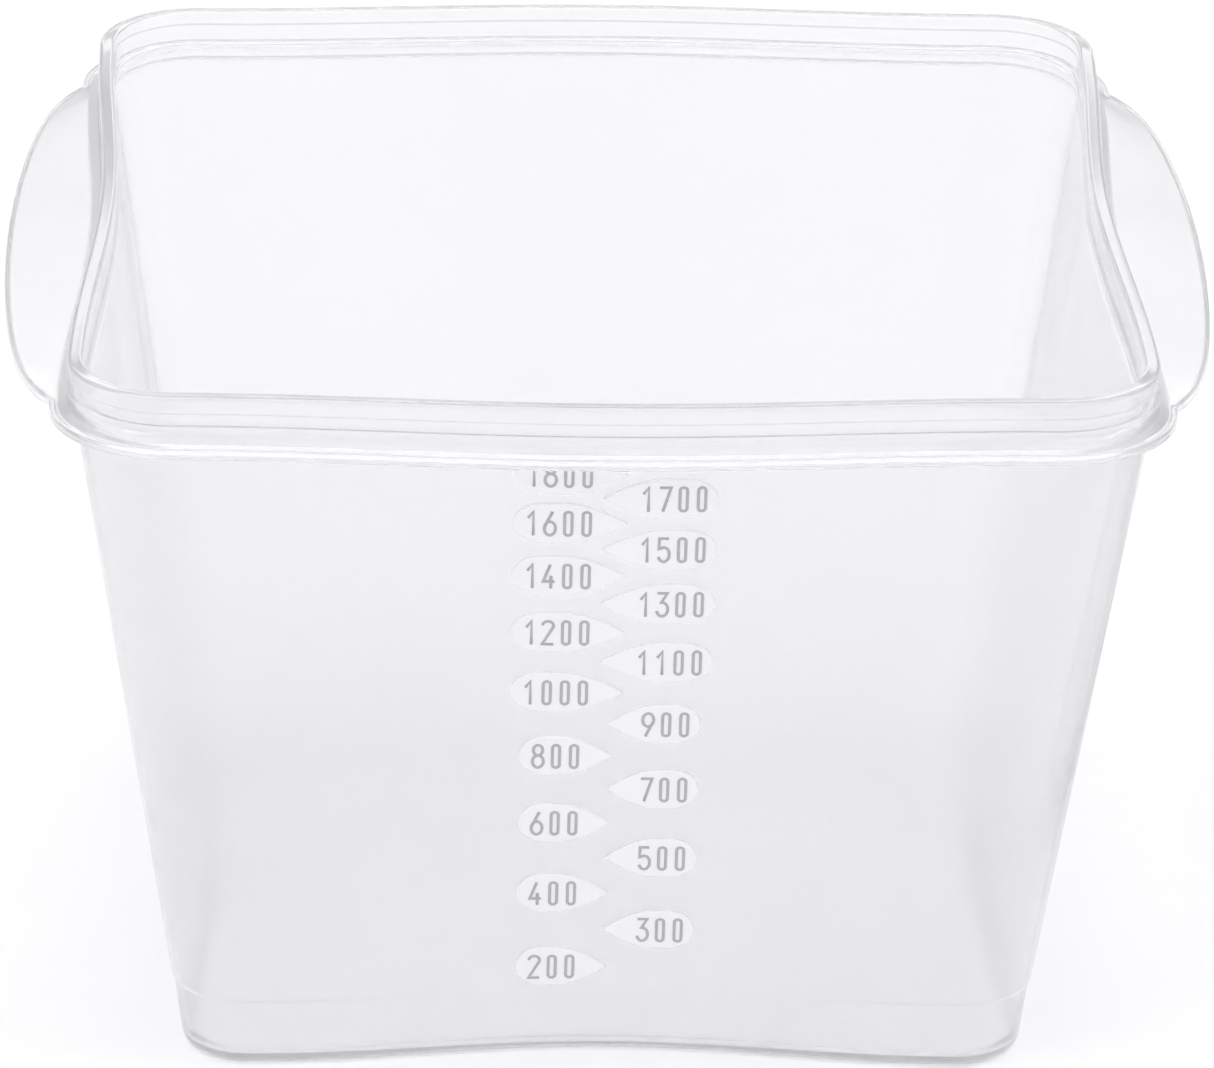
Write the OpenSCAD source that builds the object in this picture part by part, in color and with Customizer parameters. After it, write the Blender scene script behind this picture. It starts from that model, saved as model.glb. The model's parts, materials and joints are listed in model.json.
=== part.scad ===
// Snap lid food container: an open tub with a measuring scale on its front wall, and its loose lid.
// The tub stands on z = 0 with its base centred on the origin and its scale on the -Y side.
// The lid lies upside down beside the tub, on the +X side.

/* [Tub] */
// Width and depth over the upright rim, at the corners
rim_w = 153; // [140:1:180]
// Height from the base to the top of the rim
tub_h = 112.8; // [105:0.2:130]
// Corner radius of the rim
corner_r = 14.7; // [12:0.1:17]
// Width over the body just under the flange
body_w = 151.4; // [148:0.2:152]
// Width over the body at the crease above the base
crease_w = 126.2; // [123:0.2:130]
// Width over the base
base_w = 123; // [120:0.2:124.4]
// Height of the crease above the base
crease_z = 11.3; // [8:0.1:15]
// Thickness of the walls
wall_t = 1.0; // [0.8:0.1:1.2]
// Thickness of the base
floor_t = 1.2; // [1:0.1:1.6]
// Outward bulge of the front and back at the rim
front_bow = 2.9; // [0:0.1:4]
// Inward bend of the two ear sides at the rim
side_bow = 2.4; // [0:0.2:3]
// Inward bend of the front and back edges of the base
base_bow = 5.1; // [0:0.1:6]
// Inward bend of the front and back at the crease
crease_bow = 2.6; // [0:0.1:3]
// Depth of the small step at the crease
crease_step = 0.25; // [0.1:0.05:0.3]

/* [Rim] */
// Thickness of the upright rim
rim_t = 1.9; // [1.6:0.1:2.2]
// Height of the upright rim above the flange
upright_h = 5.3; // [5:0.1:6]
// Height of the snap bead at the top of the rim
bead_h = 2.4; // [2:0.1:2.8]
// How far the snap bead stands out
bead_out = 0.4; // [0.3:0.05:0.5]
// How far the flange stands out from the upright rim
flange_out = 3; // [2.6:0.1:3.6]
// Depth of the flange's outer edge below the top of the rim
flange_drop = 7; // [6.8:0.1:7.4]
// Height of the flange's down-turned edge
flange_edge_h = 1.5; // [1.2:0.1:1.8]

/* [Ears] */
// Reach of an ear beyond the upright rim, at its middle
ear_reach = 11.8; // [10:0.1:15]
// Length of an ear
ear_l = 120.6; // [114:0.2:122]
// How far the shallow curve of an ear's edge falls back towards its ends
ear_sag = 4.9; // [3:0.1:6]
// Thickness of an ear
ear_t = 1.0; // [0.8:0.1:1.2]
// Thickness of the down-turned lip of an ear
ear_lip_t = 0.7; // [0.5:0.1:1]
// Height of the down-turned lip of an ear
ear_lip_h = 1.9; // [1.5:0.1:2.2]

/* [Measuring scale] */
// Lowest mark, in millilitres
first_ml = 200; // [200:100:600]
// Highest mark, in millilitres
last_ml = 1800; // [1200:100:1800]
// Height of a mark's plaque
plaque_h = 6.7; // [5:0.1:7]
// Length of a plaque with four digits
long_plaque = 16.1; // [15:0.1:17]
// Length of a plaque with three digits
short_plaque = 13.1; // [12:0.1:14]
// Distance of a plaque's middle from the centre line
plaque_x = 6.3; // [5.5:0.1:6.6]
// How far a plaque stands out from the wall
plaque_out = 0.35; // [0.2:0.05:0.5]

/* [Lid] */
// Gap between the closed lid and the rim
lid_gap = 0.3; // [0.25:0.05:0.4]
// Thickness of the lid
lid_t = 1.1; // [0.9:0.1:1.2]
// Depth of the lid's recessed panel
panel_drop = 1.2; // [0.8:0.1:1.4]
// Width of the raised hoop around the panel
hoop_w = 8; // [6:0.5:12]
// Grip ribs on each ear of the lid
grip_ribs = 4; // [2:1:5]
// Distance from the tub's centre to the centre of the lid that lies beside it
lid_rest_x = 194; // [192:1:260]

/* [Hidden] */

corner_steps = 7;
side_steps = 10;
ear_steps = 12;
leaf_steps = 8;
grip_l = 26;
grip_w = 0.8;
grip_pitch = 1.6;
grip_edge = 2.4;

rim_half = rim_w / 2;
ear_round = ear_reach - flange_out - ear_sag;
under_z = tub_h - flange_drop - flange_edge_h - 0.4;
base_corner_r = 9.5;
crease_corner_r = 10.5;
base_edge_r = 2;
wall_lean = atan(((body_w - crease_w) / 2 + front_bow + crease_bow) / (under_z - crease_z));

// Closed lid: the skirt's inner face, the top of the hoop and the underside of the skirt's flange.
skirt_in = bead_out + lid_gap;
hoop_top = tub_h + lid_gap + lid_t;
lid_ear_z = tub_h - flange_drop + 2 * lid_gap;

// The outline of the plan: a rounded square, seen from above, with each side bent by a smooth bump.
function quarter_turn(p, k) = k == 0 ? p : quarter_turn([-p.y, p.x], k - 1);
function bump(u) = pow(cos(90 * u), 2);
function outline(half, r, bow_y, bow_x) = [
    for (k = [0:3], p = concat(
        [for (i = [0:corner_steps]) let (t = -90 + 90 * i / corner_steps)
            [half - r + r * cos(t), -(half - r) + r * sin(t)]],
        [for (i = [1:side_steps - 1]) let (u = -1 + 2 * i / side_steps)
            [half + (k % 2 == 0 ? bow_x : bow_y) * bump(u), u * (half - r)]]))
    quarter_turn(p, k)
];
function lift(points, z) = [for (p = points) [p.x, p.y, z]];

// The body wall at any height: half width, corner radius and the bend of its sides.
function wall_half(z) = lookup(z, [[0, base_w / 2], [crease_z, crease_w / 2], [under_z, body_w / 2]]);
function wall_corner(z) = lookup(z, [[0, base_corner_r], [crease_z, crease_corner_r], [under_z, corner_r - 2]]);
function bow_y(z) = lookup(z, [[0, -base_bow], [crease_z, -crease_bow], [under_z, front_bow]]);
function bow_x(z) = lookup(z, [[0, -base_bow / 2], [crease_z, -crease_bow / 2], [under_z, -side_bow]]);

// A ring that is grown outwards from the body wall, and one grown from the upright rim.
function wall_ring(grow, z) = lift(outline(wall_half(z) + grow, wall_corner(z) + grow, bow_y(z), bow_x(z)), z);
function rim_outline(grow) = outline(rim_half + grow, corner_r + grow, front_bow, -side_bow);
function rim_ring(grow, z) = lift(rim_outline(grow), z);

// Height of a mark above the base. The marks close up towards the top, because the tub widens.
mark_start = 2.7;
mark_rise = 71.6;
mark_fall = 9.05;
function mark_z(ml) = let (litres = ml / 1000) mark_start + mark_rise * litres - mark_fall * litres * litres;

// A closed solid through a list of rings, with a flat cap on the first and the last.
module shell(rings) {
    n = len(rings[0]);
    last = (len(rings) - 1) * n;
    polyhedron(
        points = [for (ring = rings, p = ring) p],
        faces = concat(
            [[for (j = [0:n - 1]) j]],
            [for (i = [0:len(rings) - 2], j = [0:n - 1]) [i * n + j, (i + 1) * n + j, (i + 1) * n + (j + 1) % n]],
            [for (i = [0:len(rings) - 2], j = [0:n - 1]) [i * n + j, (i + 1) * n + (j + 1) % n, i * n + (j + 1) % n]],
            [[for (j = [n - 1:-1:0]) last + j]]));
}

// Half of an ear's edge, from its middle to its end: a shallow curve that turns in ever faster, down to the flange.
function ear_half(shrink) =
    let (tip = rim_half + ear_reach - shrink, end = ear_l / 2 - shrink)
    concat(
        [for (i = [0:ear_steps]) let (u = sin(90 * i / ear_steps))
            [tip - ear_sag * pow(u, 2) - ear_round * pow(u, 8), end * u]],
        [[rim_half - 4, end]]);
function mirrored(points) = [for (i = [len(points) - 1:-1:1]) [points[i].x, -points[i].y]];
module ear_shape(shrink) {
    polygon(concat(mirrored(ear_half(shrink)), ear_half(shrink)));
}
module on_both_sides() {
    for (turn = [0, 180]) rotate(turn) children();
}

// Everything inside the upright rim, for trimming the ears' roots.
module rim_core(grow) {
    translate([0, 0, tub_h / 2]) linear_extrude(tub_h) polygon(rim_outline(grow));
}

// One plaque of the scale: a leaf with a round outer end and a point towards the centre line.
leaf_round = 0.3;
leaf_taper = 0.56;
function leaf_half(length) = concat(
    [for (i = [0:leaf_steps - 1]) let (t = 90 * i / leaf_steps)
        [length * (leaf_round * (1 - cos(t)) - 0.5), plaque_h / 2 * sin(t)]],
    [for (i = [0:leaf_steps]) let (d = i / leaf_steps)
        [length * (0.5 - leaf_taper * (1 - d)), plaque_h / 2 * (1 - pow(d, 1.8))]]);
function plaque_outline(length) = let (top = leaf_half(length))
    concat(top, [for (i = [len(top) - 2:-1:1]) [top[i].x, -top[i].y]]);
module plaque(ml) {
    even = ml % 200 == 0;
    length = ml < 1000 ? short_plaque : long_plaque;
    z = mark_z(ml);
    x = even ? -plaque_x : plaque_x;
    y = -wall_half(z) - bow_y(z) * bump(x / (wall_half(z) - wall_corner(z)));
    sunk = 0.7 * wall_t;
    translate([x, y, z]) rotate([90 + wall_lean, 0, 0]) mirror([even ? 0 : 1, 0, 0])
        translate([0, 0, -sunk]) linear_extrude(sunk + plaque_out) polygon(plaque_outline(length));
}

module tub() color([0.93, 0.95, 0.96]) {
    flange_z = tub_h - flange_drop;
    edge_z = flange_z - flange_edge_h;
    bead_z = tub_h - bead_h;
    step_z = tub_h - upright_h;
    shell([
        wall_ring(-base_edge_r, 0),
        wall_ring(-0.3 * base_edge_r, 0.3 * base_edge_r),
        wall_ring(0, base_edge_r),
        wall_ring(-crease_step, crease_z - 0.3),
        wall_ring(0, crease_z),
        wall_ring(0, under_z),
        rim_ring(-0.7, flange_z - 0.9),
        rim_ring(flange_out - 1.6, flange_z - 0.9),
        rim_ring(flange_out - 1.1, edge_z),
        rim_ring(flange_out, edge_z),
        rim_ring(flange_out, flange_z - 0.4),
        rim_ring(flange_out - 0.5, flange_z),
        rim_ring(0.6, step_z - 0.7),
        rim_ring(0, step_z),
        rim_ring(-0.1, bead_z - 0.4),
        rim_ring(bead_out, bead_z),
        rim_ring(bead_out, tub_h - 0.6),
        rim_ring(bead_out - 0.6, tub_h),
        rim_ring(0.4 - rim_t, tub_h),
        rim_ring(-rim_t, tub_h - 0.4),
        rim_ring(-rim_t, step_z + 0.6),
        rim_ring(-rim_t - 0.4, step_z),
        wall_ring(-wall_t, under_z),
        wall_ring(-wall_t, crease_z),
        wall_ring(-wall_t, floor_t + base_edge_r),
        wall_ring(-wall_t - 0.3 * base_edge_r, floor_t + 0.3 * base_edge_r),
        wall_ring(-wall_t - base_edge_r, floor_t)
    ]);
    on_both_sides() difference() {
        union() {
            translate([0, 0, flange_z - ear_t]) linear_extrude(ear_t) ear_shape(0);
            translate([0, 0, flange_z - ear_lip_h]) linear_extrude(ear_lip_h) difference() {
                ear_shape(0);
                ear_shape(ear_lip_t);
            }
        }
        rim_core(0);
    }
    for (ml = [first_ml:100:last_ml]) plaque(ml);
}

// The lid as it sits on the tub.
module closed_lid() {
    panel_z = hoop_top - panel_drop;
    skirt_z = lid_ear_z + lid_t;
    shell([
        rim_ring(-hoop_w - 1, panel_z - lid_t),
        rim_ring(-hoop_w, hoop_top - lid_t),
        rim_ring(skirt_in - 0.4, hoop_top - lid_t),
        rim_ring(skirt_in, tub_h - 0.1),
        rim_ring(skirt_in, tub_h - bead_h - 0.5),
        rim_ring(skirt_in - 0.45, tub_h - bead_h - 0.9),
        rim_ring(skirt_in, tub_h - bead_h - 1.3),
        rim_ring(skirt_in, skirt_z),
        rim_ring(skirt_in + 0.6, lid_ear_z + 0.4),
        rim_ring(flange_out - 0.4, lid_ear_z),
        rim_ring(flange_out, lid_ear_z),
        rim_ring(flange_out, lid_ear_z + 0.8),
        rim_ring(skirt_in + lid_t + 0.4, skirt_z + 0.2),
        rim_ring(skirt_in + lid_t, skirt_z + 0.6),
        rim_ring(skirt_in + lid_t, hoop_top - 0.9),
        rim_ring(skirt_in + lid_t - 0.9, hoop_top),
        rim_ring(1 - hoop_w, hoop_top),
        rim_ring(-hoop_w, panel_z)
    ]);
    on_both_sides() {
        difference() {
            translate([0, 0, lid_ear_z]) linear_extrude(ear_t) ear_shape(0);
            rim_core(flange_out - 1.2);
        }
        for (i = [0:grip_ribs - 1])
            translate([rim_half + ear_reach - grip_edge - grip_pitch * i, -grip_l / 2, lid_ear_z + ear_t / 2])
                cube([grip_w, grip_l, ear_t]);
    }
}

module lid() color([0.90, 0.93, 0.95])
    translate([lid_rest_x, 0, hoop_top]) rotate([0, 180, 0]) closed_lid();

tub();
lid();
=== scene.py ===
"""Snap lid food container: a near-clear tub with a raised measuring scale, and its loose lid.

The tub stands open and the lid lies upside down beside it. Sizes are in millimetres until a mesh is made.
"""
import json
import math
from collections import namedtuple

import bpy
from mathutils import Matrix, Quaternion, Vector


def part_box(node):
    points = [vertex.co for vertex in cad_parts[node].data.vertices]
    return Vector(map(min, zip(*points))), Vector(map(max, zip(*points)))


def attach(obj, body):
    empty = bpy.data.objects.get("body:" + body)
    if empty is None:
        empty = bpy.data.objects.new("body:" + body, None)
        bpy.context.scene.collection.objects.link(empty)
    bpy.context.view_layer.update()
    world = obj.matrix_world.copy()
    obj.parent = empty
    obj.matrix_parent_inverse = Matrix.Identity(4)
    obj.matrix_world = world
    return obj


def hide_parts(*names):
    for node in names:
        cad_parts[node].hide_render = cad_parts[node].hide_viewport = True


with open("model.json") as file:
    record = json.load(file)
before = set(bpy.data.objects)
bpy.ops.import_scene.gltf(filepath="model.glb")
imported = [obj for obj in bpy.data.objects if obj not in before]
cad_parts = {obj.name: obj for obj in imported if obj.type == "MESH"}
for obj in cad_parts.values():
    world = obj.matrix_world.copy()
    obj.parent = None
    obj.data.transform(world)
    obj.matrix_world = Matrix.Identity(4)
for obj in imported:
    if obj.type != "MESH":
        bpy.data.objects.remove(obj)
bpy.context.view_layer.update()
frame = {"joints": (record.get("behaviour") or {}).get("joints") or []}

MM = 0.001

# ---- Sizes in millimetres, taken from the frame where it holds them ----
tub_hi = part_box("tub")[1]
turn = Vector(frame["joints"][0]["pos_m"]) / MM

TUB_H = tub_hi.z / MM
EAR_TIP = tub_hi.x / MM
LID_TOP = 2 * turn.z  # the closed lid's top, which lies on the floor at rest

EAR_REACH = 11.8
EAR_SAG = 4.9
EAR_HALF_L = 60.3
EAR_T = 1.0
EAR_LIP_T = 0.7
EAR_LIP_H = 1.9
RIM_HALF = EAR_TIP - EAR_REACH
RIM_CORNER = 14.7
LEAST_CORNER = 3.5
RIM_T = 1.9
RIM_STEP = 0.4
BEAD_OUT = 0.4
BEAD_Z = TUB_H - 2.4
STEP_Z = TUB_H - 5.3
FLANGE_OUT = 3.0
FLANGE_Z = TUB_H - 7.0
FLANGE_EDGE_H = 1.5
UNDER_Z = FLANGE_Z - FLANGE_EDGE_H - 0.4
FLANGE_BOTTOM = FLANGE_Z - 1.0
FLANGE_ROOT_IN = 0.7
FRONT_BOW = 2.9
SIDE_BOW = -2.4
EAR_ROUND = EAR_REACH - FLANGE_OUT - EAR_SAG

BODY_HALF = RIM_HALF - 0.8
CREASE_HALF = 63.1
BASE_HALF = 61.5
CREASE_Z = 11.3
BASE_EDGE = 2.0
BASE_CORNER = 9.5
CREASE_CORNER = 10.5
WALL_TOP_CORNER = RIM_CORNER - 2
BASE_BOW = -5.1
CREASE_BOW = -2.6
CREASE_STEP = 0.25
WALL_T = 1.0
FLOOR_T = 1.2

LID_GAP = 0.3
LID_T = 1.1
SKIRT_IN = BEAD_OUT + LID_GAP
RIDGE_IN = 0.45
LID_EAR_Z = FLANGE_Z + 0.6
PANEL_DROP = 1.2
HOOP_W = 8.0
GRIP_RIBS = 4
GRIP_EDGE = 2.0
GRIP_PITCH = 1.6
GRIP_L = 26.0
GRIP_W = 0.9
GRIP_H = 0.5
GRIP_CLEAR = 0.03


# ---- The plan outline and the rings of the two mouldings ----
Ring = namedtuple("Ring", "half corner bow_y bow_x z ear shrink ear_z")


def bump(u):
    """A smooth bulge, 1 in the middle of a side and flat at its ends."""
    return math.cos(math.pi / 2 * u) ** 2


def side_steps():
    """Places along a side from -1 to 1, close together where the ears' ends turn in."""
    reach = RIM_HALF - RIM_CORNER
    straight, wide_steps = 44, 14
    fine_pitch, fine_steps = 1.25, 13
    half = [straight * i / wide_steps for i in range(wide_steps + 1)]
    half += [straight + fine_pitch * i for i in range(1, fine_steps + 1)]
    half.append(reach - 0.7)
    places = [y / reach for y in half]
    return [-u for u in reversed(places[1:])] + places


SIDE = side_steps()
CORNER_STEPS = 14
EAR_RISE = 1.5  # a ring is at the ear's own height where the ear adds this much or more


def ear_edge(y):
    """Where an ear's outer edge lies at a distance y from its middle. It turns in ever faster."""
    u = y / EAR_HALF_L
    return EAR_TIP - EAR_SAG * u**2 - EAR_ROUND * u**8


def ring_points(ring):
    """The ring's points in order, anticlockwise from above."""
    points = []
    reach = ring.half - ring.corner
    for k in range(4):
        bow = ring.bow_x if k % 2 == 0 else ring.bow_y
        angles = [math.radians(-90 + 90 * i / CORNER_STEPS) for i in range(CORNER_STEPS + 1)]
        r = ring.corner
        part = [(reach + r * math.cos(t), -reach + r * math.sin(t), ring.z) for t in angles]
        for u in SIDE:
            x, y, z = ring.half + bow * bump(u), u * reach, ring.z
            if k % 2 == 0 and ring.ear > 0:
                gain = max(0.0, ear_edge(abs(y)) - ring.shrink - x)
                x += ring.ear * gain
                z += (ring.ear_z - ring.z) * ring.ear * min(1.0, gain / EAR_RISE)
            part.append((x, y, z))
        for _ in range(k):
            part = [(-y, x, z) for x, y, z in part]
        points += part
    return points


def lookup(z, table):
    """Straight-line interpolation in a table of (z, value) pairs."""
    if z <= table[0][0]:
        return table[0][1]
    for (z0, v0), (z1, v1) in zip(table, table[1:]):
        if z <= z1:
            return v0 + (v1 - v0) * (z - z0) / (z1 - z0)
    return table[-1][1]


def wall_half(z):
    """Half the outside width of the wall at a height."""
    root = (FLANGE_BOTTOM, RIM_HALF - FLANGE_ROOT_IN)
    return lookup(z, [(0, BASE_HALF), (CREASE_Z, CREASE_HALF), (UNDER_Z, BODY_HALF), root])


def wall_corner(z):
    return lookup(z, [(0, BASE_CORNER), (CREASE_Z, CREASE_CORNER), (UNDER_Z, WALL_TOP_CORNER)])


def wall_bow_y(z):
    return lookup(z, [(0, BASE_BOW), (CREASE_Z, CREASE_BOW), (UNDER_Z, FRONT_BOW)])


def wall_bow_x(z):
    return lookup(z, [(0, BASE_BOW / 2), (CREASE_Z, CREASE_BOW / 2), (UNDER_Z, SIDE_BOW)])


def wall_ring(grow, z):
    """A ring that follows the tub's wall, grown outwards."""
    return Ring(wall_half(z) + grow, wall_corner(z) + grow, wall_bow_y(z), wall_bow_x(z), z, 0, 0, z)


def rim_ring(grow, z, ear=0.0, shrink=0.0, ear_z=None):
    """A ring that follows the rim, and the ears too where ear is 1. Its corners keep a least radius."""
    ear_z = z if ear_z is None else ear_z
    corner = max(RIM_CORNER + grow, LEAST_CORNER)
    return Ring(RIM_HALF + grow, corner, FRONT_BOW, SIDE_BOW, z, ear, shrink, ear_z)


def mix(a, b, t):
    """The ring between two rings, at a share t of the way."""
    return Ring(*(p + (q - p) * t for p, q in zip(a, b)))


def gap(a, b):
    """Roughly how far apart two rings are, never quite 0."""
    across = b.half - a.half - (b.ear - a.ear) * EAR_REACH + (b.shrink - a.shrink)
    return max(math.hypot(across, b.z - a.z), 1e-6)


def soften(corners, steps=4):
    """Rounds a profile of (ring, radius) pairs: each inner corner becomes a short smooth arc."""
    most = 0.46  # the share of a stretch between two corners that one arc may take
    rings = [corners[0][0]]
    for i in range(1, len(corners) - 1):
        before, here, after = corners[i - 1][0], corners[i][0], corners[i + 1][0]
        radius = corners[i][1]
        a = mix(here, before, min(most, radius / gap(here, before)))
        b = mix(here, after, min(most, radius / gap(here, after)))
        for s in range(steps + 1):
            t = s / steps
            rings.append(mix(mix(a, here, t), mix(here, b, t), t))
    rings.append(corners[-1][0])
    return rings


# ---- Meshes ----
def new_piece(name, points, faces, material, body, place=None):
    """A mesh piece from points in millimetres, riding on a body."""
    move = place or (lambda p: p)
    mesh = bpy.data.meshes.new(name)
    mesh.from_pydata([Vector(move(p)) * MM for p in points], [], faces)
    mesh.validate()
    mesh.polygons.foreach_set("use_smooth", [True] * len(mesh.polygons))
    mesh.materials.append(material)
    piece = bpy.data.objects.new(name, mesh)
    bpy.context.scene.collection.objects.link(piece)
    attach(piece, body)
    return piece


def cap(points, ring, start, upward):
    """Closes a ring with smaller copies of itself and a middle point. Returns the new faces."""
    n = len(ring)
    shrinks = (0.97, 0.8, 0.55, 0.3, 0.12)
    faces = []
    previous = list(range(start, start + n))
    for shrink in shrinks:
        first = len(points)
        points += [(x * shrink, y * shrink, z) for x, y, z in ring]
        now = list(range(first, first + n))
        for j in range(n):
            k = (j + 1) % n
            quad = [previous[j], previous[k], now[k], now[j]]
            faces.append(quad if upward else quad[::-1])
        previous = now
    middle = len(points)
    points.append((0, 0, ring[0][2]))
    for j in range(n):
        tri = [previous[j], previous[(j + 1) % n], middle]
        faces.append(tri if upward else tri[::-1])
    return faces


def lathe(rings):
    """A closed shell through a list of rings, capped downwards at the first and upwards at the last."""
    loops = [ring_points(r) for r in rings]
    n = len(loops[0])
    points = [p for loop in loops for p in loop]
    faces = []
    for i in range(len(loops) - 1):
        for j in range(n):
            k = (j + 1) % n
            faces.append([i * n + j, i * n + k, (i + 1) * n + k, (i + 1) * n + j])
    faces += cap(points, loops[0], 0, upward=False)
    faces += cap(points, loops[-1], (len(loops) - 1) * n, upward=True)
    return points, faces


def tub_profile():
    """Rings and corner radii of the tub: up the outside from the base, over the rim and down inside."""
    edge_z = FLANGE_Z - FLANGE_EDGE_H
    lip_z = FLANGE_Z - EAR_LIP_H
    return [
        (wall_ring(-BASE_EDGE - 1, 0), 0),
        (wall_ring(0, 0.0), 2.0),
        (wall_ring(-CREASE_STEP, CREASE_Z - 0.4), 0.15),
        (wall_ring(0, CREASE_Z), 0.2),
        (wall_ring(0, UNDER_Z), 0.8),
        (rim_ring(-FLANGE_ROOT_IN, FLANGE_BOTTOM), 0.4),
        (rim_ring(FLANGE_OUT - 1.9, FLANGE_BOTTOM), 0.2),
        (rim_ring(FLANGE_OUT - 1.3, FLANGE_BOTTOM, 1, EAR_LIP_T + 0.1), 0.2),
        (rim_ring(FLANGE_OUT - 1.0, edge_z, 1, EAR_LIP_T - 0.1, lip_z), 0.2),
        (rim_ring(FLANGE_OUT, edge_z, 1, 0, lip_z), 0.25),
        (rim_ring(FLANGE_OUT, FLANGE_Z, 1, 0), 0.45),
        (rim_ring(FLANGE_OUT - 0.9, FLANGE_Z + 0.03), 0.3),
        (rim_ring(0.6, STEP_Z - 0.7), 0.5),
        (rim_ring(0, STEP_Z), 0.5),
        (rim_ring(-0.05, BEAD_Z - 0.35), 0.2),
        (rim_ring(BEAD_OUT, BEAD_Z), 0.25),
        (rim_ring(BEAD_OUT, TUB_H), 0.7),
        (rim_ring(-RIM_T, TUB_H), 0.6),
        (rim_ring(-RIM_T, STEP_Z + 0.5), 0.6),
        (rim_ring(-RIM_T - RIM_STEP, STEP_Z - 0.1), 0.6),
        (wall_ring(-WALL_T, UNDER_Z), 0.8),
        (wall_ring(-WALL_T, CREASE_Z), 0.7),
        (wall_ring(-WALL_T, FLOOR_T), 2.6),
        (wall_ring(-WALL_T - BASE_EDGE - 1.5, FLOOR_T), 0),
    ]


def lid_profile():
    """Rings and corner radii of the lid as it sits on the tub: outwards below, and back in above."""
    panel_z = LID_TOP - PANEL_DROP
    skirt_z = LID_EAR_Z + LID_T
    ridge_z = BEAD_Z - 0.9
    return [
        (rim_ring(-HOOP_W - 2.0, panel_z - LID_T), 0),
        (rim_ring(-HOOP_W - 1.0, panel_z - LID_T), 0.5),
        (rim_ring(-HOOP_W, LID_TOP - LID_T), 0.5),
        (rim_ring(SKIRT_IN - 0.1, LID_TOP - LID_T), 0.4),
        (rim_ring(SKIRT_IN, BEAD_Z - 0.5), 0.15),
        (rim_ring(SKIRT_IN - RIDGE_IN, ridge_z), 0.2),
        (rim_ring(SKIRT_IN, BEAD_Z - 1.3), 0.15),
        (rim_ring(SKIRT_IN, skirt_z), 0.3),
        (rim_ring(SKIRT_IN + 0.7, LID_EAR_Z + 0.3), 0.3),
        (rim_ring(FLANGE_OUT - 0.9, LID_EAR_Z), 0.2),
        (rim_ring(FLANGE_OUT, LID_EAR_Z, 1, 0), 0.3),
        (rim_ring(FLANGE_OUT, LID_EAR_Z + EAR_T, 1, 0), 0.4),
        (rim_ring(FLANGE_OUT - 0.7, LID_EAR_Z + EAR_T + 0.02), 0.2),
        (rim_ring(SKIRT_IN + LID_T, skirt_z + 0.6), 0.4),
        (rim_ring(SKIRT_IN + LID_T, LID_TOP), 0.9),
        (rim_ring(-HOOP_W + 1.0, LID_TOP), 0.5),
        (rim_ring(-HOOP_W, panel_z), 0.5),
        (rim_ring(-HOOP_W - 4.0, panel_z), 0.3),
        (rim_ring(-HOOP_W - 14.0, panel_z), 0),
    ]


def upside_down(p):
    """From the closed lid's place to its place at rest: half a turn about the joint."""
    return 2 * turn.x - p[0], p[1], 2 * turn.z - p[2]


def grip_bar(middle_x, points, faces):
    """Adds a low half-round bar with blunt ends, just clear of an ear's face on the closed lid."""
    around, along = 9, 24
    bluntness, end_size = 0.3, 0.02
    foot_z = LID_EAR_Z + EAR_T + GRIP_CLEAR
    start = len(points)
    for j in range(along + 1):
        t = math.pi * (j / along - 0.5)
        size = math.cos(t) ** bluntness if 0 < j < along else end_size
        for k in range(around):
            q = math.pi * k / (around - 1)
            across = GRIP_W / 2 * math.cos(q) * size
            up = GRIP_H * math.sin(q) * size
            points.append((middle_x + across, GRIP_L / 2 * math.sin(t), foot_z + up))
    for j in range(along):
        row = start + j * around
        after = row + around
        for k in range(around):
            m = (k + 1) % around
            faces.append([row + k, after + k, after + m, row + m])
    faces.append([start + k for k in range(around)])
    faces.append([start + along * around + k for k in range(around)][::-1])


def grip_bars():
    """The grip bars of both ears of the closed lid, side by side inwards from the ears' edges."""
    points, faces = [], []
    for side in (1, -1):
        for i in range(GRIP_RIBS):
            grip_bar(side * (EAR_TIP - GRIP_EDGE - GRIP_PITCH * i), points, faces)
    return points, faces


# ---- The measuring scale ----
PLAQUE_H = 6.7
PLAQUE_X = 6.3
PLAQUE_OUT = 0.35
PLAQUE_CLEAR = 0.02
UNDER_FLANGE_GAP = 0.45  # the top plaque is cut off this far below the flange
LONG_PLAQUE = 16.1
SHORT_PLAQUE = 13.1
DIGIT_W = 1.57
NOUGHT_W = 1.03
DIGIT_H = 4.0
DIGIT_PITCH = 2.57
LEFT_MARGIN = 1.9
RIGHT_MARGIN = 1.5
STROKE_W = 0.45
STROKE_OUT = 0.16
MARKS = range(200, 1900, 100)  # millilitres
MARK_START, MARK_SLOPE, MARK_CURVE = 2.7, 71.6, 9.05  # mm, mm for a litre, mm for a square litre


def mark_z(ml):
    """The height of a mark. The marks draw together upwards, because the tub widens."""
    litres = ml / 1000
    return MARK_START + MARK_SLOPE * litres - MARK_CURVE * litres**2


def is_left(ml):
    """Even hundreds stand in the left column and odd ones in the right."""
    return ml % 200 == 0


def plaque_length(ml):
    return SHORT_PLAQUE if ml < 1000 else LONG_PLAQUE


def front_y(x, z):
    """Where the front wall's outside lies. It faces -Y."""
    return -wall_half(z) - wall_bow_y(z) * bump(x / (wall_half(z) - wall_corner(z)))


LEAN = math.atan((BODY_HALF - CREASE_HALF + FRONT_BOW - CREASE_BOW) / (UNDER_Z - CREASE_Z))


def on_front(middle_z, x, up, out):
    """A point on the front wall: x across, up along the wall from a mark's middle, out from it."""
    z = middle_z + up * math.cos(LEAN)
    return x, front_y(x, z) - out * math.cos(LEAN), z - out * math.sin(LEAN)


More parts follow.
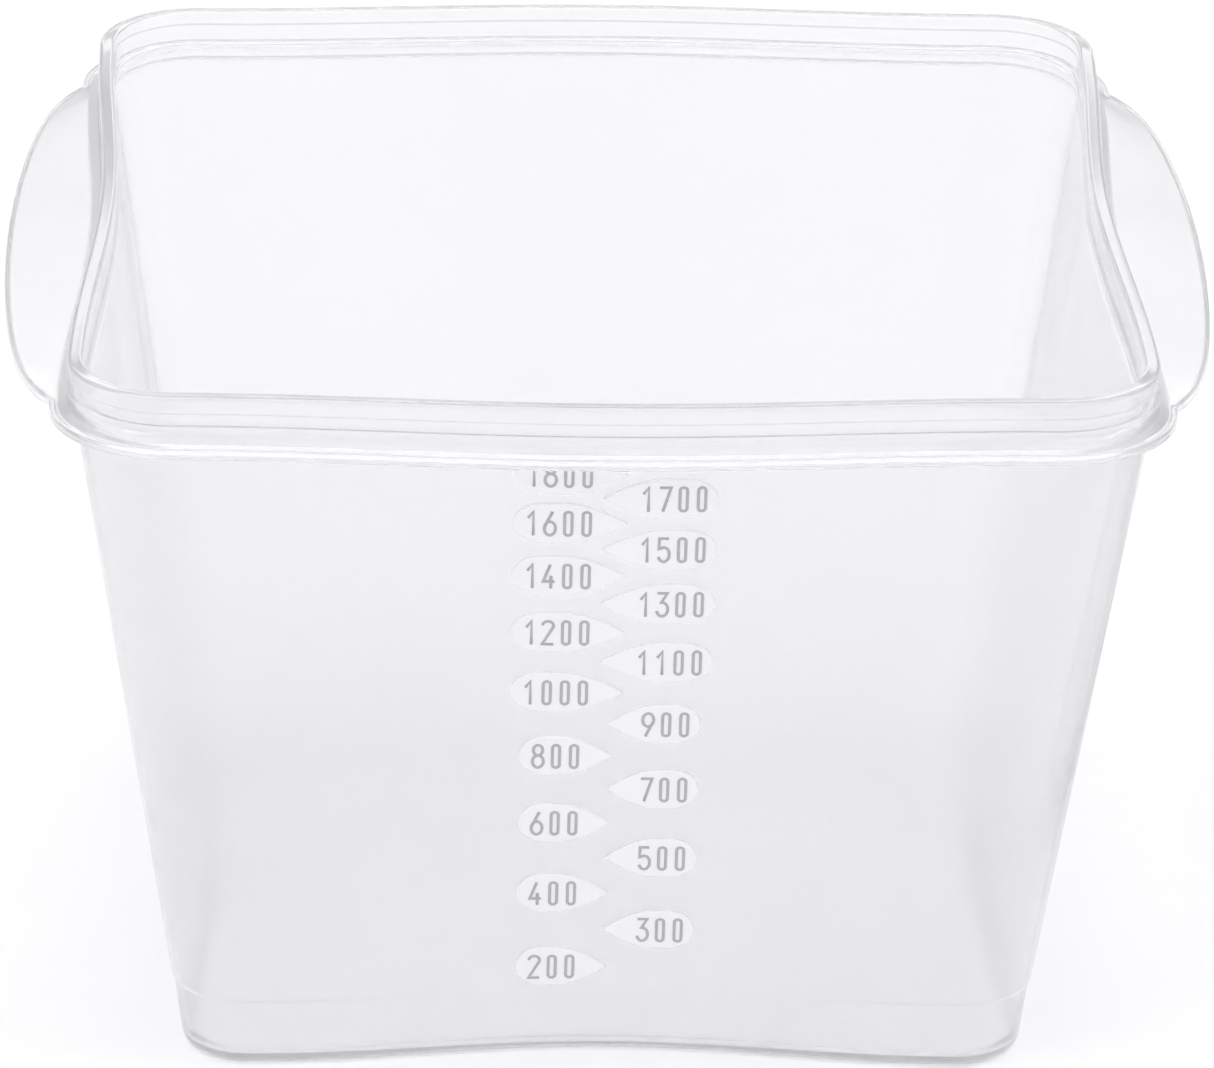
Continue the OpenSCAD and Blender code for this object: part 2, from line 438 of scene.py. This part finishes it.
def leaf(length):
    """Half heights of a plaque from its round end to its point, as (along, half height) pairs."""
    top = PLAQUE_H / 2
    round_l, taper_l = 0.3 * length, 0.56 * length
    round_steps, taper_steps = 12, 14
    taper_power = 1.8
    pairs = []
    for i in range(round_steps + 1):
        t = math.pi / 2 * i / round_steps
        pairs.append((round_l * (1 - math.cos(t)), top * math.sin(t)))
    for i in range(1, taper_steps + 1):
        d = i / taper_steps
        pairs.append((length - taper_l * (1 - d), top * (1 - d**taper_power)))
    return pairs


def plaque(ml, material):
    """A raised leaf-shaped plaque with a softened edge, just clear of the wall's plastic."""
    length = plaque_length(ml)
    side = 1 if is_left(ml) else -1
    x0 = -side * (PLAQUE_X + length / 2)
    pairs = leaf(length)
    room = (FLANGE_BOTTOM - UNDER_FLANGE_GAP - mark_z(ml)) / math.cos(LEAN)
    outline = [(a, min(h, room)) for a, h in pairs] + [(a, -h) for a, h in reversed(pairs[1:-1])]
    if is_left(ml):
        outline.reverse()
    middle = length * 0.42
    low, top = PLAQUE_CLEAR, PLAQUE_OUT
    edge = [(0.5, low), (1.0, low), (1.0, top - 0.12), (0.985, top - 0.03), (0.955, top)]
    points, loops = [], []
    for scale, out in edge + [(0.8, top), (0.5, top)]:
        loops.append(len(points))
        for a, h in outline:
            x = x0 + side * (middle + (a - middle) * scale)
            points.append(on_front(mark_z(ml), x, h * scale, out))
    n = len(outline)
    faces = []
    for a, b in zip(loops, loops[1:]):
        faces += [[a + j, a + (j + 1) % n, b + (j + 1) % n, b + j] for j in range(n)]
    for start, out, turned in ((loops[0], low, -1), (loops[-1], top, 1)):
        centre = len(points)
        points.append(on_front(mark_z(ml), x0 + side * middle, 0, out))
        faces += [[start + j, start + (j + 1) % n, centre][::turned] for j in range(n)]
    return new_piece(f"plaque_{ml}", points, faces, material, "tub")


def arc(cx, cy, rx, ry, start, end, steps=10):
    """Points on part of an ellipse, from one angle in degrees to another."""
    return [
        (cx + rx * math.cos(math.radians(start + (end - start) * i / steps)),
         cy + ry * math.sin(math.radians(start + (end - start) * i / steps)))
        for i in range(steps + 1)
    ]


def digit_strokes(digit):
    """A digit's strokes in a cell of DIGIT_W by DIGIT_H, as (points, closed). A nought is narrower."""
    w, h = DIGIT_W, DIGIT_H
    r = w / 2
    if digit == "0":
        n = NOUGHT_W / 2
        return [(arc(r, n, n, n, 180, 360) + arc(r, h - n, n, n, 0, 180), True)]
    if digit == "1":
        return [([(w * 0.22, h * 0.74), (w * 0.66, h), (w * 0.66, 0)], False)]
    if digit == "2":
        return [(arc(r, h - r, r, r, 170, -25) + [(0, 0), (w, 0)], False)]
    if digit == "3":
        flag = [(w * 0.05, h), (w * 0.95, h), (w * 0.42, h * 0.6)]
        return [(flag + arc(r, h * 0.3, r, h * 0.3, 80, -165, 14), False)]
    if digit == "4":
        bent = [(w * 0.6, h), (0, h * 0.27), (w, h * 0.27)]
        post = [(w * 0.68, h * 0.52), (w * 0.68, 0)]
        return [(bent, False), (post, False)]
    if digit == "5":
        flag = [(w * 0.92, h), (w * 0.1, h), (w * 0.06, h * 0.55)]
        return [(flag + arc(r, h * 0.31, r, h * 0.31, 120, -160, 14), False)]
    if digit == "6":
        bowl = arc(r, h * 0.29, r, h * 0.29, 0, 360, 20)[:-1]
        stem = [(w * 0.02, h * 0.36), (w * 0.72, h)]
        return [(bowl, True), (stem, False)]
    if digit == "7":
        return [([(0, h), (w, h), (w * 0.32, 0)], False)]
    if digit == "8":
        lower = arc(r, h * 0.27, r, h * 0.27, 0, 360, 20)[:-1]
        upper = arc(r, h * 0.77, r * 0.86, h * 0.23, 0, 360, 18)[:-1]
        return [(lower, True), (upper, True)]
    bowl = arc(r, h * 0.71, r, h * 0.29, 0, 360, 20)[:-1]
    stem = [(w * 0.98, h * 0.64), (w * 0.28, 0)]
    return [(bowl, True), (stem, False)]


def unit(a, b):
    """The direction from a to b, with length 1."""
    d = math.hypot(b[0] - a[0], b[1] - a[1]) or 1.0
    return (b[0] - a[0]) / d, (b[1] - a[1]) / d


def stroke_mesh(path, closed, points, faces, place):
    """Adds a low rounded bar along a path, as a tube with a flat oval section."""
    sides = 8
    most_stretch = 1.6  # how far a sharp bend may widen the bar
    n = len(path)
    rows = []
    for i, (px, py) in enumerate(path):
        a = path[(i - 1) % n] if closed or i > 0 else path[i]
        b = path[(i + 1) % n] if closed or i < n - 1 else path[i]
        t_in, t_out = unit(a, (px, py)), unit((px, py), b)
        if a == path[i]:
            t_in = t_out
        if b == path[i]:
            t_out = t_in
        tx, ty = t_in[0] + t_out[0], t_in[1] + t_out[1]
        d = math.hypot(tx, ty) or 1.0
        stretch = min(most_stretch, 2 / d)
        nx, ny = -ty / d * stretch, tx / d * stretch
        rows.append(len(points))
        for s in range(sides):
            q = 2 * math.pi * s / sides
            across, out = STROKE_W / 2 * math.cos(q), STROKE_OUT * math.sin(q)
            points.append(place(px + nx * across, py + ny * across, out))
    links = list(zip(rows, rows[1:])) + ([(rows[-1], rows[0])] if closed else [])
    for a, b in links:
        faces += [[a + s, a + (s + 1) % sides, b + (s + 1) % sides, b + s] for s in range(sides)]
    if not closed:
        faces.append([rows[0] + s for s in range(sides)][::-1])
        faces.append([rows[-1] + s for s in range(sides)])


def numeral(ml, material):
    """The digits on one plaque, written near its round end."""
    text = str(ml)
    width = DIGIT_PITCH * (len(text) - 1) + DIGIT_W
    round_end = PLAQUE_X + plaque_length(ml) / 2
    left = LEFT_MARGIN - round_end if is_left(ml) else round_end - RIGHT_MARGIN - width
    points, faces = [], []
    for i, digit in enumerate(text):
        x0 = left + i * DIGIT_PITCH

        def place(x, y, out, x0=x0):
            return on_front(mark_z(ml), x0 + x, y - DIGIT_H / 2, PLAQUE_OUT + out)

        for path, closed in digit_strokes(digit):
            stroke_mesh(path, closed, points, faces, place)
    return new_piece(f"numeral_{ml}", points, faces, material, "tub")


# ---- Materials ----
GRAIN_DEPTH = 0.004


def clear_plastic(name, tint, milk, roughness, ripple):
    """Glossy near-clear polypropylene.

    milk is the share of light that it scatters, and ripple is the depth of the moulding waves.
    """
    material = bpy.data.materials.new(name)
    material.use_nodes = True
    tree = material.node_tree
    shader = tree.nodes["Principled BSDF"]
    shader.inputs["Base Color"].default_value = (*tint, 1)
    shader.inputs["IOR"].default_value = 1.49
    shader.inputs["Coat Weight"].default_value = 0.5
    shader.inputs["Coat Roughness"].default_value = 0.04
    shader.inputs["Transmission Weight"].default_value = 1 - milk
    place = tree.nodes.new("ShaderNodeTexCoord")

    haze = tree.nodes.new("ShaderNodeTexNoise")
    haze.inputs["Scale"].default_value = 45
    haze.inputs["Detail"].default_value = 4
    spread = tree.nodes.new("ShaderNodeMapRange")
    spread.inputs["To Min"].default_value = roughness * 0.6
    spread.inputs["To Max"].default_value = roughness * 1.5
    tree.links.new(place.outputs["Object"], haze.inputs["Vector"])
    tree.links.new(haze.outputs["Fac"], spread.inputs["Value"])
    tree.links.new(spread.outputs["Result"], shader.inputs["Roughness"])

    waves = tree.nodes.new("ShaderNodeTexNoise")
    waves.inputs["Scale"].default_value = 28
    waves.inputs["Detail"].default_value = 2
    grain = tree.nodes.new("ShaderNodeTexNoise")
    grain.inputs["Scale"].default_value = 900
    grain.inputs["Detail"].default_value = 2
    slow = tree.nodes.new("ShaderNodeBump")
    slow.inputs["Strength"].default_value = 1
    slow.inputs["Distance"].default_value = ripple * MM
    fine = tree.nodes.new("ShaderNodeBump")
    fine.inputs["Strength"].default_value = 1
    fine.inputs["Distance"].default_value = GRAIN_DEPTH * MM
    for texture in (waves, grain):
        tree.links.new(place.outputs["Object"], texture.inputs["Vector"])
    tree.links.new(waves.outputs["Fac"], slow.inputs["Height"])
    tree.links.new(grain.outputs["Fac"], fine.inputs["Height"])
    tree.links.new(slow.outputs["Normal"], fine.inputs["Normal"])
    tree.links.new(fine.outputs["Normal"], shader.inputs["Normal"])
    return material


def floor_material():
    material = bpy.data.materials.new("pale_floor")
    material.use_nodes = True
    shader = material.node_tree.nodes["Principled BSDF"]
    shader.inputs["Base Color"].default_value = (0.93, 0.93, 0.935, 1)
    shader.inputs["Roughness"].default_value = 0.8
    shader.inputs["Specular IOR Level"].default_value = 0.2
    return material


# ---- The two mouldings ----
tub_plastic = clear_plastic("tub_plastic", (0.97, 0.97, 0.98), 0.16, 0.17, 0.05)
plaque_plastic = clear_plastic("plaque_plastic", (0.98, 0.98, 0.985), 0.9, 0.35, 0.02)
numeral_plastic = clear_plastic("numeral_plastic", (0.5, 0.5, 0.52), 0.85, 0.3, 0.0)
lid_plastic = clear_plastic("lid_plastic", (0.965, 0.965, 0.975), 0.22, 0.2, 0.06)

tub = new_piece("tub_moulding", *lathe(soften(tub_profile())), tub_plastic, "tub")
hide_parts("tub")

lid = new_piece("lid_moulding", *lathe(soften(lid_profile())), lid_plastic, "lid", upside_down)
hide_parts("lid")

grips = new_piece("lid_grips", *grip_bars(), lid_plastic, "lid", upside_down)

for ml in MARKS:
    for piece in (plaque(ml, plaque_plastic), numeral(ml, numeral_plastic)):
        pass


# ---- Floor, light and camera ----
def make_floor():
    """A wide floor that lies a fifth of a millimetre below the object, so that faces don't coincide."""
    size = 6.0
    drop = 0.0002
    mesh = bpy.data.meshes.new("floor")
    corners = [(-size, -size, 0), (size, -size, 0), (size, size, 0), (-size, size, 0)]
    mesh.from_pydata(corners, [], [[0, 1, 2, 3]])
    mesh.materials.append(floor_material())
    floor = bpy.data.objects.new("floor", mesh)
    bpy.context.scene.collection.objects.link(floor)
    floor.location.z = -drop


def area_light(name, place, aim, size, power):
    """A rectangular lamp at a place, turned to a point. Places and sizes are in metres."""
    light = bpy.data.lights.new(name, "AREA")
    light.shape = "RECTANGLE"
    light.size, light.size_y = size
    light.energy = power
    lamp = bpy.data.objects.new(name, light)
    lamp.location = place
    lamp.rotation_euler = (Vector(aim) - Vector(place)).to_track_quat("-Z", "Y").to_euler()
    bpy.context.scene.collection.objects.link(lamp)


def make_light():
    """A white studio: a sky that is brighter overhead, and three soft lamps for the glints."""
    world = bpy.data.worlds.new("studio")
    bpy.context.scene.world = world
    world.use_nodes = True
    tree = world.node_tree
    sky = tree.nodes["Background"]
    place = tree.nodes.new("ShaderNodeTexCoord")
    split = tree.nodes.new("ShaderNodeSeparateXYZ")
    ramp = tree.nodes.new("ShaderNodeValToRGB")
    ramp.color_ramp.elements[0].color = (0.68, 0.68, 0.69, 1)
    ramp.color_ramp.elements[1].position = 0.4
    ramp.color_ramp.elements[1].color = (0.88, 0.88, 0.89, 1)
    top = ramp.color_ramp.elements.new(1.0)
    top.color = (1.37, 1.37, 1.37, 1)
    tree.links.new(place.outputs["Generated"], split.inputs["Vector"])
    tree.links.new(split.outputs["Z"], ramp.inputs["Fac"])
    tree.links.new(ramp.outputs["Color"], sky.inputs["Color"])
    sky.inputs["Strength"].default_value = 0.96
    aim = (0, 0, 0.06)
    area_light("key", (-0.8, -0.6, 1.2), aim, (0.5, 0.5), 1.2)
    area_light("side_strip", (1.1, -0.3, 0.8), aim, (0.2, 0.9), 1.2)
    area_light("back_strip", (0.1, 1.2, 0.9), aim, (1.4, 0.25), 0.8)


def make_camera():
    """The photograph's view: a long lens, 24 degrees above the floor, slightly left of the front."""
    elevation, azimuth, roll = math.radians(24.37), math.radians(1.63), math.radians(1.03)
    distance = 1185.6 * MM
    aim = Vector((1.09, 0, 57.63)) * MM
    level_part = math.cos(elevation)
    forward = (math.sin(azimuth) * level_part, math.cos(azimuth) * level_part, -math.sin(elevation))
    forward = Vector(forward)
    data = bpy.data.cameras.new("camera")
    data.sensor_width = 36
    data.lens = 233.6
    data.clip_start, data.clip_end = 0.05, 50
    camera = bpy.data.objects.new("camera", data)
    camera.location = aim - forward * distance
    level = forward.to_track_quat("-Z", "Y")
    camera.rotation_mode = "QUATERNION"
    camera.rotation_quaternion = Quaternion(forward, -roll) @ level
    bpy.context.scene.collection.objects.link(camera)
    bpy.context.scene.camera = camera


make_floor()
make_light()
make_camera()
bpy.context.scene.view_settings.view_transform = "Standard"

# Light crosses many thin walls here, so it needs many bounces.
bpy.context.scene.cycles.max_bounces = 24
bpy.context.scene.cycles.transmission_bounces = 24
bpy.context.scene.cycles.transparent_max_bounces = 24
bpy.context.scene.cycles.diffuse_bounces = 16
bpy.context.scene.cycles.glossy_bounces = 12
bpy.context.scene.cycles.blur_glossy = 0
